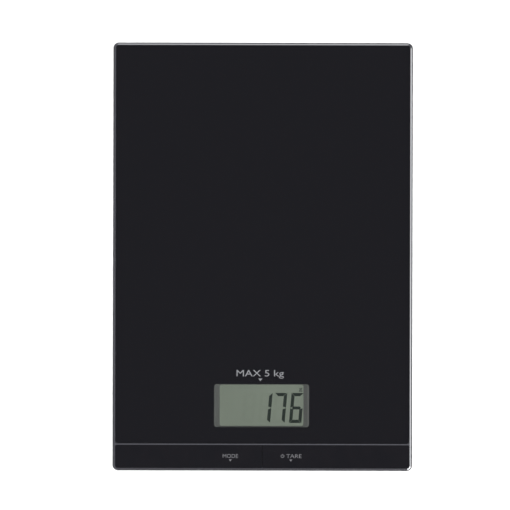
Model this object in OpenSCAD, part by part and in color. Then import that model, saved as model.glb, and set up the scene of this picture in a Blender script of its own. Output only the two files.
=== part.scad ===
// Slim electronic kitchen scale, in millimetres.
// +Z is up, +Y runs from the key strip to the back edge, and the origin lies on the table under the centre.

/* [Body] */
// Overall width, left to right
body_w = 161; // [160:1:164]
// Overall length, front to back
body_l = 230; // [228:1:236]
// Height of the glass above the table
body_h = 17; // [17:0.25:18]
// Radius of the body's upright corners
corner_r = 3; // [2.8:0.1:3.4]
// Height of the bright side band, from its lower edge to the rim
band_h = 6.85; // [6.5:0.05:7]
// How far the base tray stands in from the band
tray_inset = 3; // [3:0.1:3.4]
// Height of the tray's floor above the table
tray_lift = 2.4; // [2.2:0.1:2.5]

/* [Top] */
// Width of the bright rim round the black panels
rim_w = 1.45; // [1.3:0.05:1.6]
// Distance from the front edge to the middle of the dividing bar
strip_l = 14.3; // [14.2:0.1:14.6]
// Thickness of the dividing bar
bar_t = 0.6; // [0.5:0.05:0.8]
// Thickness of the toughened glass
glass_t = 3; // [2.8:0.1:3]

/* [Display] */
// Width of the clear window
window_w = 51; // [50:0.5:52]
// Length of the clear window
window_l = 23.2; // [22.5:0.1:24]
// Distance from the front edge to the middle of the window
window_from_front = 34.9; // [34.5:0.1:35.2]
// Visible width of the liquid crystal panel
view_w = 45; // [44:0.2:46]
// Visible length of the liquid crystal panel
view_l = 22.2; // [21.4:0.2:22.4]

/* [Keys] */
// Distance from the centre line to each key's switch
switch_x = 16.3; // [15:0.1:18]

/* [Feet] */
// Distance from the centre line to each foot
foot_x = 58; // [56:0.5:58]
// Distance from the middle of the body to each foot
foot_y = 94; // [90:0.5:94]
// Diameter of each foot
foot_d = 19; // [17:0.5:19]

/* [Battery] */
// Diameter of the coin cell
cell_d = 20; // [20:0.1:20]
// Thickness of the coin cell
cell_h = 3.2; // [3.1:0.1:3.2]
// Position of the coin cell along the body
cell_y = -25; // [-27:0.5:-20]

/* [Hidden] */
$fn = 64;
eps = 0.01; // overlap that joins or clears two faces

// Heights of the main layers
rim_z = body_h - 0.15;
band_z = rim_z - band_h;
tape_t = 0.2;
deck_t = 1.4;
deck_top = body_h - glass_t - tape_t;
deck_z = deck_top - deck_t;
floor_t = 1.8;
floor_top = tray_lift + floor_t;

// The band: its wall, its rounded edges and the rim's two bevels, a shallow one inside a steeper one
band_wall = 2.8;
band_inner_r = 4;
inner_bevel_w = 0.7;
inner_bevel_slope = 18;
outer_bevel_slope = 35;
rim_edge_r = 0.35;
low_edge_r = 1.2;

// The dividing bar and the two recesses on either side of it
bar_y = -body_l / 2 + strip_l;
bar_front = bar_y - bar_t / 2;
bar_back = bar_y + bar_t / 2;
recess_w = body_w - 2 * rim_w;
recess_front = -body_l / 2 + rim_w;
recess_back = body_l / 2 - rim_w;
recess_r = corner_r - rim_w;
bar_corner_r = 0.8;
glass_gap = 0.1;

// The display
window_y = -body_l / 2 + window_from_front;
lcd_w = 58;
lcd_l = 27.5;
lcd_t = 2.4;
lcd_top = deck_z - 0.2;
lcd_z = lcd_top - lcd_t;
lcd_frame_w = 62;
lcd_frame_l = 32;
fit_gap = 0.2; // play round pieces that drop into a pocket

// The circuit board
board_w = 76;
board_l = 50;
board_t = 1.2;
zebra_h = 2;
board_top = lcd_z - zebra_h;
board_z = board_top - board_t;
board_front = -body_l / 2 + 4.8;
board_back = board_front + board_l;
board_hole_x = 34.5;
board_hole_ys = [board_front + 11.2, board_back - 3.3];

// The keys, their hinges and switches
key_side_gap = 0.15;
key_front_gap = 0.3;
key_split = 0.2;
key_top = rim_z - 0.05;
key_t = 1.6;
key_skirt = 0.9;
key_skirt_h = 2.2;
key_front = recess_front + key_front_gap;
key_back = bar_front - key_side_gap;
hinge_y = bar_front - 1.4;
hinge_z = deck_top - 0.6;
hinge_pin_d = 1.6;
hinge_bore_d = 1.7;
ear_xs = [8, 66];
ear_half = 1;
ear_slot_half = 1.15;
hinge_block_half = 2.8;
switch_y = hinge_y - 5.4;
switch_body = 4.5;
switch_body_h = 3.5;
plunger_d = 2.4;
plunger_bore = 2.5;
plunger_travel = 0.3;
plunger_top = board_top + 5;
plunger_foot = board_top + 2.4;
nub_r = 1.2;
nub_gap = 0.05;

// The base tray and its screws
tray_w = body_w - 2 * tray_inset;
tray_l = body_l - 2 * tray_inset;
tray_r = 5;
tray_wall = 1.5;
tray_top = deck_z - 0.2;
tray_edge_r = 3.5;
screw_x = 70.5;
screw_ys = [-70, 0, 70];
screw_seat = tray_lift + 2.2;
boss_top = screw_seat + 1.8;
foot_hole_d = foot_d + 1;
foot_flange_d = foot_d + 4;
foot_low = 0.9;
flange_low = floor_top + 0.3;
flange_top = flange_low + 1.2;
collar_d = foot_flange_d + 1;
pad_d = 15;
pad_h = 1.5;

// The load cells
cell_plate = 28;
cell_plate_t = 2.4;
cell_plate_z = 6.6;
cell_plate_top = cell_plate_z + cell_plate_t;
cell_hole = 11;
tongue_half = 5;
slot_w = 2;
slot_front = -10;
slot_back = 7;
gauge_back = 8.2;
seal_back = 13.2;

// The battery compartment and its door
bay_w = 27;
bay_top = 8.8;
bay_roof = 1;
bay_bore_d = cell_d + 0.6;
door_w = 29;
door_t = 1.4;
door_z = tray_lift;
seat_z = door_z + door_t + 0.1;
seat_top = seat_z + 1.5;
door_axis_y = cell_y - 16.5;
door_axis_z = 3.6;
door_near = door_axis_y + 1.4;
door_far = cell_y + 16.6;
knuckle_d = 2.2;
knuckle_xs = [-9, 9];
knuckle_w = 5;
knuckle_pin_d = 1.2;
knuckle_bore_d = 1.3;
door_hinge_gap = 0.8;
cell_z = seat_z;
contact_t = 0.3;
contact_y = cell_y - 2.6;

// Leads
wire_d = 0.8;
wire_pitch = 1;
lead_z = 8.2;
battery_lead_d = 1;

// ---------- shared shapes ----------

// The waste outside a rounded corner that sits at the origin and opens to +X +Y
module corner_waste(r) {
    difference() {
        translate([-eps, -eps]) square(r + eps);
        translate([r, r]) circle(r);
    }
}

// A slab centred on X from y0 to y1, with its own corner radius at the front and at the back
module slab_2d(w, y0, y1, r0, r1) {
    difference() {
        translate([-w / 2, y0]) square([w, y1 - y0]);
        for (side = [0, 1]) mirror([side, 0]) {
            translate([-w / 2, y0]) corner_waste(r0);
            translate([-w / 2, y1]) mirror([0, 1]) corner_waste(r1);
        }
    }
}

module rounded_2d(w, l, r) {
    slab_2d(w, -l / 2, l / 2, r, r);
}

module rounded_box(w, l, h, r) {
    linear_extrude(h) rounded_2d(w, l, r);
}

// Runs an edge profile round a rounded rectangle; the profile's X is measured out from the corner's centre
module run_round(w, l, r) {
    for (side = [0, 1]) {
        mirror([side, 0, 0]) translate([w / 2 - r, l / 2 - r, 0])
            rotate([90, 0, 0]) linear_extrude(l - 2 * r) children();
        mirror([0, side, 0]) translate([r - w / 2, l / 2 - r, 0])
            rotate([90, 0, 90]) linear_extrude(w - 2 * r) children();
    }
    for (across = [0, 1], along = [0, 1])
        mirror([across, 0, 0]) mirror([0, along, 0]) translate([w / 2 - r, l / 2 - r, 0])
            rotate_extrude(angle = 90) children();
}

// Puts its children at four mirrored places, all standing the same way
module at_four(x, y) {
    for (sx = [-1, 1], sy = [-1, 1]) translate([sx * x, sy * y, 0]) children();
}

module along_x(x, y, z, d, l) {
    translate([x - l / 2, y, z]) rotate([0, 90, 0]) cylinder(d = d, h = l);
}

module screw(head_d, head_h, shank_d, shank_h) {
    difference() {
        union() {
            cylinder(d = head_d, h = head_h);
            translate([0, 0, head_h - eps]) cylinder(d = shank_d, h = shank_h + eps);
        }
        slot_l = head_d * 0.6;
        slot_t = head_d * 0.14;
        for (turn = [0, 90]) rotate([0, 0, turn])
            translate([-slot_l / 2, -slot_t / 2, -eps]) cube([slot_l, slot_t, head_h * 0.55]);
    }
}

// ---------- leads ----------

function unit(v) = v / norm(v);

// A smooth curve through route points, with steps rings for each stretch
function smooth(p, steps) = [
    for (i = [0 : len(p) - 2], k = [0 : steps - 1])
        let (
            t = k / steps,
            a = p[max(i - 1, 0)], b = p[i], c = p[i + 1], d = p[min(i + 2, len(p) - 1)]
        )
        ((2 * b) + (c - a) * t + (2 * a - 5 * b + 4 * c - d) * t * t
            + (3 * b - a - 3 * c + d) * t * t * t) / 2,
    p[len(p) - 1]
];

// The direction of travel at a point, the level direction to its right, and a path moved that way
function heading(p, i) = unit(p[min(i + 1, len(p) - 1)] - p[max(i - 1, 0)]);
function right_of(p, i) = unit(cross(heading(p, i), [0, 0, 1]));
function beside(p, gap) = [for (i = [0 : len(p) - 1]) p[i] + gap * right_of(p, i)];

// A round tube that follows a list of points, as one polyhedron
module tube(points, d, sides) {
    n = len(points);
    rings = [
        for (i = [0 : n - 1])
            let (side = right_of(points, i), up = cross(side, heading(points, i)))
            for (k = [0 : sides - 1])
                points[i] + d / 2 * (side * cos(360 * k / sides) + up * sin(360 * k / sides))
    ];
    walls = [
        for (i = [0 : n - 2], k = [0 : sides - 1])
            let (next = (k + 1) % sides)
            [i * sides + k, i * sides + next, (i + 1) * sides + next, (i + 1) * sides + k]
    ];
    ends = [
        [for (k = [sides - 1 : -1 : 0]) k],
        [for (k = [0 : sides - 1]) (n - 1) * sides + k]
    ];
    polyhedron(rings, concat(walls, ends));
}

// From the back of a load cell's sealant to the edge of the board
seal_end = foot_y - seal_back - 0.25;
front_route = [
    [foot_x, -seal_end, 9.5], [foot_x, -seal_end + 1.2, 9.5], [foot_x - 1.2, -seal_end + 3.4, 9.1],
    [foot_x - 6, -seal_end + 5.4, 8.7], [board_w / 2 + 8, window_y + 3.4, 8.6],
    [board_w / 2 + 2, window_y + 3, board_top + 0.5], [board_w / 2 - 4, window_y + 3, board_top + 0.5]
];
rear_route = [
    [foot_x, seal_end, 9.5], [foot_x, seal_end - 1.2, 9.5], [foot_x - 1.2, seal_end - 4, 9.1],
    [foot_x - 6, seal_end - 12, 8.6], [foot_x - 14, seal_end - 26, lead_z], [foot_x - 16, 20, lead_z],
    [foot_x - 16, -14, lead_z], [foot_x - 17, -36, lead_z], [foot_x - 24, -50, lead_z],
    [board_w / 2 - 10, board_back + 2, board_top + 0.5], [board_w / 2 - 11, board_back - 2.6, board_top + 0.5]
];
// From each battery contact's tail, over the bay's roof, to the back of the board
red_route = [
    [cell_d / 2 + contact_t / 2, contact_y - 0.05, 9.6], [10, cell_y - 8, 9.7], [9.4, cell_y - 14.5, 9.6],
    [8, cell_y - 20, 8.8], [6, board_back + 8, lead_z + 0.2], [5, board_back - 3, board_top + 0.55]
];
black_route = [
    [-3, contact_y - 0.55, 9.4], [-3.2, cell_y - 9, 9.5], [-3.6, cell_y - 14.5, 9.6],
    [-4.4, cell_y - 20, 8.8], [-5, board_back + 8, lead_z + 0.2], [-5, board_back - 3, board_top + 0.55]
];

// Three wires side by side
module sensor_leads(side, route) {
    mirror([side < 0 ? 1 : 0, 0, 0]) for (k = [-1 : 1])
        color(k < 0 ? "red" : k > 0 ? "white" : "dimgray")
            tube(beside(smooth(route, 4), k * wire_pitch), wire_d, 6);
}

module battery_lead_red() { color("red") tube(smooth(red_route, 5), battery_lead_d, 8); }
module battery_lead_black() { color("dimgray") tube(smooth(black_route, 5), battery_lead_d, 8); }

// ---------- top frame ----------

module band_profile() {
    r = corner_r;
    land_end = r - rim_w + 0.08;
    ridge = land_end + inner_bevel_w;
    ridge_z = rim_z - inner_bevel_w * tan(inner_bevel_slope);
    edge_a = 90 - outer_bevel_slope;
    edge_x = r - rim_edge_r;
    arc_top_x = edge_x + rim_edge_r * cos(edge_a);
    arc_top_z = ridge_z - (arc_top_x - ridge) * tan(outer_bevel_slope);
    edge_z = arc_top_z - rim_edge_r * sin(edge_a);
    polygon([
        [0, band_z],
        for (a = [-90 : 15 : 0])
            [r - low_edge_r + low_edge_r * cos(a), band_z + low_edge_r + low_edge_r * sin(a)],
        for (a = [0 : edge_a / 4 : edge_a]) [edge_x + rim_edge_r * cos(a), edge_z + rim_edge_r * sin(a)],
        [ridge, ridge_z],
        [land_end, rim_z],
        [0, rim_z]
    ]);
}

module band_block() {
    run_round(body_w, body_l, corner_r) band_profile();
    translate([corner_r - body_w / 2, corner_r - body_l / 2, band_z])
        cube([body_w - 2 * corner_r, body_l - 2 * corner_r, band_h]);
}

module recesses() {
    translate([0, 0, deck_top]) linear_extrude(body_h) {
        slab_2d(recess_w, bar_back, recess_back, bar_corner_r, recess_r);
        slab_2d(recess_w, recess_front, bar_front, recess_r, bar_corner_r);
    }
}

module deck_ribs() {
    rib_t = 1.2;
    rib_h = 3;
    for (x = [-24, 24]) translate([x - rib_t / 2, -54, deck_z - rib_h]) cube([rib_t, 160, rib_h + eps]);
    for (y = [-52, 0, 52]) translate([-75, y - rib_t / 2, deck_z - rib_h]) cube([150, rib_t, rib_h + eps]);
}

module post(d, low) {
    translate([0, 0, low]) cylinder(d = d, h = deck_z - low + eps);
}

module hinge_block(x) {
    depth = 1.8;
    translate([x - hinge_block_half, hinge_y - depth, deck_z - 1])
        cube([2 * hinge_block_half, depth + bar_front - hinge_y, deck_top - deck_z + 1.5]);
}

module hinge_cut(x) {
    translate([x - ear_slot_half, hinge_y - 2, deck_z - 2])
        cube([2 * ear_slot_half, 2 + bar_front - hinge_y, deck_top - deck_z + 4]);
    along_x(x, hinge_y, hinge_z, hinge_bore_d, 2 * hinge_block_half + 1);
}

module top_frame() {
    color("silver") difference() {
        union() {
            difference() {
                band_block();
                recesses();
                translate([0, 0, band_z - eps]) linear_extrude(deck_z - band_z + eps)
                    rounded_2d(body_w - 2 * band_wall, body_l - 2 * band_wall, band_inner_r);
            }
            deck_ribs();
            for (sx = [-1, 1], y = screw_ys) translate([sx * screw_x, y, 0]) post(6.4, boss_top);
            for (sx = [-1, 1], y = board_hole_ys) translate([sx * board_hole_x, y, 0]) post(5, board_top);
            at_four(foot_x, foot_y) at_four(cell_hole, cell_hole) post(5.4, cell_plate_top);
            for (sx = [-1, 1], x = ear_xs) hinge_block(sx * x);
        }
        translate([0, window_y, deck_z - 1])
            rounded_box(lcd_frame_w + 2 * fit_gap, lcd_frame_l + 2 * fit_gap, deck_t + 2, 1.2);
        for (sx = [-1, 1]) translate([sx * switch_x, switch_y, deck_z - 1]) cylinder(d = 5.4, h = deck_t + 2);
        for (sx = [-1, 1], x = ear_xs) hinge_cut(sx * x);
        for (sx = [-1, 1], y = screw_ys)
            translate([sx * screw_x, y, boss_top - eps]) cylinder(d = 2.6, h = 5);
        for (sx = [-1, 1], y = board_hole_ys)
            translate([sx * board_hole_x, y, board_top - eps]) cylinder(d = 2.1, h = 3.6);
        at_four(foot_x, foot_y) at_four(cell_hole, cell_hole)
            translate([0, 0, cell_plate_top - eps]) cylinder(d = 2.3, h = 3);
    }
}

// ---------- glass ----------

module glass_platform() {
    front = bar_back + glass_gap;
    back = recess_back - glass_gap;
    color("black") translate([0, 0, body_h - glass_t]) linear_extrude(glass_t)
        slab_2d(recess_w - 2 * glass_gap, front, back, bar_corner_r, recess_r);
}

module glass_tape() {
    edge = 1.5;
    color([0.1, 0.1, 0.1]) translate([0, 0, deck_top]) linear_extrude(tape_t) difference() {
        slab_2d(recess_w - 2 * edge, bar_back + edge, recess_back - edge, 1, 1);
        translate([0, window_y]) rounded_2d(window_w + 3, window_l + 3, 2);
    }
}

// ---------- keys and switches ----------

// The right-hand key's outline, shrunk by inset, from the split to the rim
module key_outline(inset) {
    x0 = key_split / 2 + inset;
    x1 = recess_w / 2 - key_side_gap - inset;
    y0 = key_front + inset;
    y1 = key_back - inset;
    difference() {
        translate([x0, y0]) square([x1 - x0, y1 - y0]);
        translate([x1, y0]) mirror([1, 0]) corner_waste(recess_r - 0.3);
        translate([x1, y1]) mirror([1, 0]) mirror([0, 1]) corner_waste(bar_corner_r - 0.15);
    }
}

module key_ear(x) {
    front = 1.1;
    low = 1.2;
    translate([x - ear_half, hinge_y - front, hinge_z - low])
        cube([2 * ear_half, front + key_back - hinge_y, key_top - key_t - hinge_z + low + eps]);
    along_x(x, hinge_y, hinge_z, hinge_pin_d, 2 * hinge_block_half - 0.4);
}

// Right-hand key; the left-hand one is its mirror image
module key() {
    nub_z = plunger_top + nub_gap + nub_r;
    low = key_top - key_skirt_h;
    difference() {
        translate([0, 0, low]) linear_extrude(key_skirt_h) key_outline(0);
        translate([0, 0, low - eps]) linear_extrude(key_skirt_h - key_t + eps) key_outline(key_skirt);
    }
    for (x = ear_xs) key_ear(x);
    translate([switch_x, switch_y, nub_z]) {
        sphere(nub_r);
        cylinder(d = 2 * nub_r - 0.3, h = key_top - key_t - nub_z + eps);
    }
}

module zero_key() { color([0.08, 0.08, 0.09]) key(); }
module unit_key() { color([0.08, 0.08, 0.09]) mirror([1, 0, 0]) key(); }

module switch_case(side) {
    half = switch_body / 2;
    color([0.25, 0.25, 0.27]) translate([side * switch_x, switch_y, board_top]) difference() {
        union() {
            translate([-half, -half, 0]) cube([switch_body, switch_body, switch_body_h]);
            for (sx = [-1, 1], sy = [-1, 1])
                translate([sx * (half + 0.3) - 0.35, sy * 1.5 - 0.35, 0]) cube([0.7, 0.7, 0.4]);
        }
        translate([0, 0, plunger_foot - board_top - plunger_travel - 0.1])
            cylinder(d = plunger_bore, h = switch_body_h);
    }
}

module plunger(side) {
    color("black") translate([side * switch_x, switch_y, plunger_foot])
        cylinder(d = plunger_d, h = plunger_top - plunger_foot);
}

module unit_switch() { switch_case(-1); }
module zero_switch() { switch_case(1); }
module unit_plunger() { plunger(-1); }
module zero_plunger() { plunger(1); }

// ---------- display ----------

module lcd_frame() {
    slope_x = 2.2;
    slope_y = 0.9;
    color([0.62, 0.63, 0.61]) translate([0, window_y, 0]) difference() {
        translate([0, 0, lcd_z]) rounded_box(lcd_frame_w, lcd_frame_l, deck_top - lcd_z, 1);
        translate([0, 0, lcd_z - eps])
            rounded_box(lcd_w + 2 * fit_gap, lcd_l + 2 * fit_gap, lcd_t + eps, 0.5);
        hull() {
            translate([0, 0, lcd_top - 0.1]) rounded_box(view_w, view_l, eps, 0.6, $fn = 32);
            translate([0, 0, deck_top + eps])
                rounded_box(view_w + 2 * slope_x, view_l + 2 * slope_y, eps, 1.2, $fn = 32);
        }
    }
}

module lcd_panel() {
    ledge = 2.6;
    upper = 1.1;
    color([0.55, 0.6, 0.53]) translate([0, window_y, lcd_z]) {
        rounded_box(lcd_w, lcd_l, lcd_t - upper, 0.3);
        translate([0, 0, lcd_t - upper - eps]) rounded_box(lcd_w, lcd_l - ledge, upper + eps, 0.3);
    }
}

module zebra_strips() {
    strip_w = 2;
    off = lcd_l / 2 - 1.8;
    color([0.3, 0.3, 0.3]) for (sy = [-1, 1])
        translate([-25, window_y + sy * off - strip_w / 2, board_top]) cube([50, strip_w, zebra_h]);
}

// ---------- circuit board ----------

module main_board() {
    color([0.1, 0.35, 0.2]) translate([0, 0, board_z]) linear_extrude(board_t) difference() {
        slab_2d(board_w, board_front, board_back, 1.5, 1.5);
        for (sx = [-1, 1], y = board_hole_ys) translate([sx * board_hole_x, y]) circle(d = 2.4);
    }
}

// A blob of potting resin over the bare chip
module controller_chip() {
    r = 6.5;
    h = 1.3;
    color([0.05, 0.05, 0.05]) translate([0, window_y, board_top]) rotate_extrude()
        polygon([[0, 0], for (a = [0 : 10 : 90]) [r * cos(a), h * sin(a)]]);
}

// Small surface parts, on the underside of the board
module board_components() {
    color([0.75, 0.7, 0.6]) for (column = [0 : 5], row = [0 : 1])
        translate([-26 + column * 9, -101 + row * 7, board_z - 0.7]) cube([2, 1.25, 0.7]);
    color([0.15, 0.15, 0.15]) for (x = [-14, 12])
        translate([x, window_y + 2, board_z - 1.5]) cube([5, 4, 1.5]);
}

module crystal() {
    color("silver") {
        along_x(27, -104, board_top + 1.05, 2, 6);
        translate([24.4, -104.8, board_top]) cube([1, 1.6, 1]);
    }
}

// ---------- load cells and feet ----------

// Stamped plate whose tongue bends as the foot pushes on it; its root lies towards +Y
module load_cell_plate() {
    linear_extrude(cell_plate_t) difference() {
        rounded_2d(cell_plate, cell_plate, 3);
        for (side = [-1, 1]) translate([side * (tongue_half + slot_w / 2) - slot_w / 2, slot_front])
            square([slot_w, slot_back - slot_front]);
        translate([-tongue_half - slot_w, slot_front]) square([2 * (tongue_half + slot_w), slot_w]);
        at_four(cell_hole, cell_hole) circle(d = 2.6);
    }
}

// Turns a piece drawn for a front foot round for a rear one
module at_foot(sx, sy) {
    translate([sx * foot_x, sy * foot_y, 0]) mirror([0, sy > 0 ? 1 : 0, 0]) children();
}

module at_every_foot() {
    for (sx = [-1, 1], sy = [-1, 1]) at_foot(sx, sy) children();
}

module load_cell(sx, sy) {
    color([0.7, 0.71, 0.73]) at_foot(sx, sy) translate([0, 0, cell_plate_z]) load_cell_plate();
}

module strain_gauges() {
    color([0.8, 0.5, 0.2]) at_every_foot() translate([-3, gauge_back - 4, cell_plate_top]) cube([6, 4, 0.1]);
}

module gauge_sealant() {
    l = seal_back - gauge_back - 0.1;
    color("white") at_every_foot()
        translate([0, seal_back - l / 2, cell_plate_top]) rounded_box(9, l, 1, 1.5);
}

module foot(sx, sy) {
    r = foot_d / 2;
    edge = 0.6;
    color([0.1, 0.1, 0.1]) at_foot(sx, sy) rotate_extrude() polygon([
        [0, pad_h], [pad_d / 2 + 0.1, pad_h], [pad_d / 2 + 0.1, foot_low],
        for (a = [-90 : 15 : 0]) [r - edge + edge * cos(a), foot_low + edge + edge * sin(a)],
        [r, flange_low], [foot_flange_d / 2, flange_low], [foot_flange_d / 2, flange_top],
        [4, flange_top], [4, cell_plate_z], [0, cell_plate_z]
    ]);
}

module foot_pad(sx, sy) {
    r = pad_d / 2;
    groove = 0.4;
    color([0.16, 0.16, 0.16]) at_foot(sx, sy) rotate_extrude() polygon([
        [0, 0], [4.2, 0], [4.5, groove], [5.1, groove], [5.4, 0],
        [r - 0.4, 0], [r, 0.4], [r, pad_h], [0, pad_h]
    ]);
}

// ---------- base tray ----------

module tray_profile() {
    r = tray_edge_r;
    polygon([
        [0, tray_lift],
        for (a = [-90 : 9 : 0]) [tray_r - r + r * cos(a), tray_lift + r + r * sin(a)],
        [tray_r, tray_top], [0, tray_top]
    ]);
}

module tray_block() {
    run_round(tray_w, tray_l, tray_r) tray_profile();
    translate([tray_r - tray_w / 2, tray_r - tray_l / 2, tray_lift])
        cube([tray_w - 2 * tray_r, tray_l - 2 * tray_r, tray_top - tray_lift]);
}

module battery_bay() {
    translate([0, cell_y, floor_top - eps]) {
        rounded_box(37, 42, seat_top - floor_top + eps, 3);
        rounded_box(bay_w, bay_w, bay_top - floor_top + eps, 3);
    }
}

module battery_bay_cuts() {
    below = door_z - 1;
    translate([0, cell_y, below]) cylinder(d = bay_bore_d, h = bay_top - bay_roof - below);
    translate([0, 0, below]) linear_extrude(seat_z - below)
        slab_2d(door_w + 0.6, door_near - door_hinge_gap, door_far + 0.3, 1.5, 2.8);
    for (x = knuckle_xs) {
        translate([x - knuckle_w / 2 - 0.3, door_axis_y - 1.5, below])
            cube([knuckle_w + 0.6, 3, door_axis_z + knuckle_d / 2 + 0.2 - below]);
        along_x(x, door_axis_y, door_axis_z, knuckle_bore_d, knuckle_w + 3.6);
    }
    // finger scoop beside the door's free edge, and the slots that the contacts' tails pass through
    translate([0, door_far + 0.5, below]) cylinder(d = 10, h = door_z + 0.9 - below);
    translate([9.4, cell_y - 3.3, seat_z]) cube([1.6, 6.6, bay_top - seat_z + 1]);
    translate([-4, cell_y - 3.3, bay_top - bay_roof - eps]) cube([2, 1, bay_roof + 1]);
}

module bottom_cover() {
    color([0.12, 0.12, 0.13]) difference() {
        union() {
            difference() {
                tray_block();
                translate([0, 0, floor_top])
                    rounded_box(tray_w - 2 * tray_wall, tray_l - 2 * tray_wall, tray_top, tray_r - tray_wall);
            }
            for (sx = [-1, 1], y = screw_ys) translate([sx * screw_x, y, floor_top - eps])
                cylinder(d = 8.4, h = boss_top - floor_top + eps);
            at_four(foot_x, foot_y) translate([0, 0, floor_top - eps]) cylinder(d = collar_d + 2.2, h = 1.6);
            battery_bay();
            for (y = [-45, 30, 75]) translate([-60, y - 0.6, floor_top - eps]) cube([120, 1.2, 1.4]);
        }
        for (sx = [-1, 1], y = screw_ys) translate([sx * screw_x, y, tray_lift - 1]) {
            cylinder(d = 5.6, h = screw_seat - tray_lift + 1);
            cylinder(d = 3, h = 10);
        }
        at_four(foot_x, foot_y) {
            translate([0, 0, tray_lift - 1]) cylinder(d = foot_hole_d, h = 10);
            translate([0, 0, floor_top]) cylinder(d = collar_d, h = 5);
        }
        battery_bay_cuts();
    }
}

module battery_door() {
    slit = 0.8;
    color([0.12, 0.12, 0.13]) {
        difference() {
            translate([0, 0, door_z]) linear_extrude(door_t) slab_2d(door_w, door_near, door_far, 1.2, 2.5);
            // slits that free the latch tongue, and grip grooves across it
            for (side = [-1, 1]) translate([side * 4.4 - slit / 2, door_far - 8, door_z - eps])
                cube([slit, 9, door_t + 1]);
            for (k = [0 : 2]) translate([-3, door_far - 2.4 - k * 1.4, door_z - eps]) cube([6, 0.6, 0.35]);
        }
        translate([-3, door_far - eps, door_z + 0.5]) cube([6, 0.2, 0.5]);
        for (x = knuckle_xs) {
            along_x(x, door_axis_y, door_axis_z, knuckle_d, knuckle_w);
            along_x(x, door_axis_y, door_axis_z, knuckle_pin_d, knuckle_w + 3);
            translate([x - knuckle_w / 2, door_axis_y, door_z + 0.1])
                cube([knuckle_w, door_near - door_axis_y + 0.5, door_t - 0.1]);
        }
    }
}

module coin_cell() {
    can_h = cell_h - 0.3;
    color([0.8, 0.81, 0.83]) translate([0, cell_y, cell_z]) {
        cylinder(d = cell_d, h = can_h);
        cylinder(d = cell_d - 2.4, h = cell_h);
    }
}

module positive_contact() {
    color([0.85, 0.8, 0.6]) translate([cell_d / 2, contact_y, 0]) {
        translate([0, 0, cell_z + 0.6]) cube([contact_t, 5.2, 4]);
        translate([0, 0, cell_z + 3]) cube([contact_t, 1.6, 3.3]);
    }
}

module negative_contact() {
    strip_z = bay_top - bay_roof - contact_t;
    color([0.85, 0.8, 0.6]) translate([0, cell_y, 0]) {
        translate([-4, -2.8, strip_z]) cube([8, 5.6, contact_t]);
        translate([0, 0, cell_z + cell_h]) cylinder(d = 3, h = strip_z - cell_z - cell_h + eps);
        translate([-3.8, -3.1, strip_z]) cube([1.6, contact_t + 0.3, 2.4]);
    }
}

// ---------- fasteners ----------

module cover_screws() {
    color([0.6, 0.6, 0.62]) for (sx = [-1, 1], y = screw_ys)
        translate([sx * screw_x, y, screw_seat - 1.6]) screw(5, 1.6, 2.4, 6);
}

module board_screws() {
    color([0.6, 0.6, 0.62]) for (sx = [-1, 1], y = board_hole_ys)
        translate([sx * board_hole_x, y, board_z - 1.2]) screw(3.8, 1.2, 1.9, 4.4);
}

module sensor_screws() {
    color([0.6, 0.6, 0.62]) at_four(foot_x, foot_y) at_four(cell_hole, cell_hole)
        translate([0, 0, cell_plate_z - 1.3]) screw(4, 1.3, 2.1, 5);
}

top_frame();
glass_platform();
glass_tape();
unit_key();
zero_key();
bottom_cover();
battery_door();
coin_cell();
positive_contact();
negative_contact();
main_board();
lcd_panel();
lcd_frame();
zebra_strips();
controller_chip();
board_components();
crystal();
unit_switch();
zero_switch();
unit_plunger();
zero_plunger();
load_cell(-1, -1);  // load_cell_front_left
load_cell(1, -1);  // load_cell_front_right
load_cell(-1, 1);  // load_cell_rear_left
load_cell(1, 1);  // load_cell_rear_right
strain_gauges();
gauge_sealant();
foot(-1, -1);  // foot_front_left
foot(1, -1);  // foot_front_right
foot(-1, 1);  // foot_rear_left
foot(1, 1);  // foot_rear_right
foot_pad(-1, -1);  // foot_pad_front_left
foot_pad(1, -1);  // foot_pad_front_right
foot_pad(-1, 1);  // foot_pad_rear_left
foot_pad(1, 1);  // foot_pad_rear_right
sensor_leads(-1, front_route);  // sensor_leads_front_left
sensor_leads(1, front_route);  // sensor_leads_front_right
sensor_leads(-1, rear_route);  // sensor_leads_rear_left
sensor_leads(1, rear_route);  // sensor_leads_rear_right
battery_lead_red();
battery_lead_black();
cover_screws();
board_screws();
sensor_screws();
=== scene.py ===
# %% [markdown]
# # A slim kitchen scale
# The model that comes in from the CAD side already works: its keys rock, its feet sink and its battery
# door swings. What it lacks is everything that makes it look real. This lesson adds that, piece by piece,
# around the parts that are already there, and then gives every surface a finish of its own.

# %% Load the working model
import math

import bpy
from mathutils import Matrix, Vector


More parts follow.
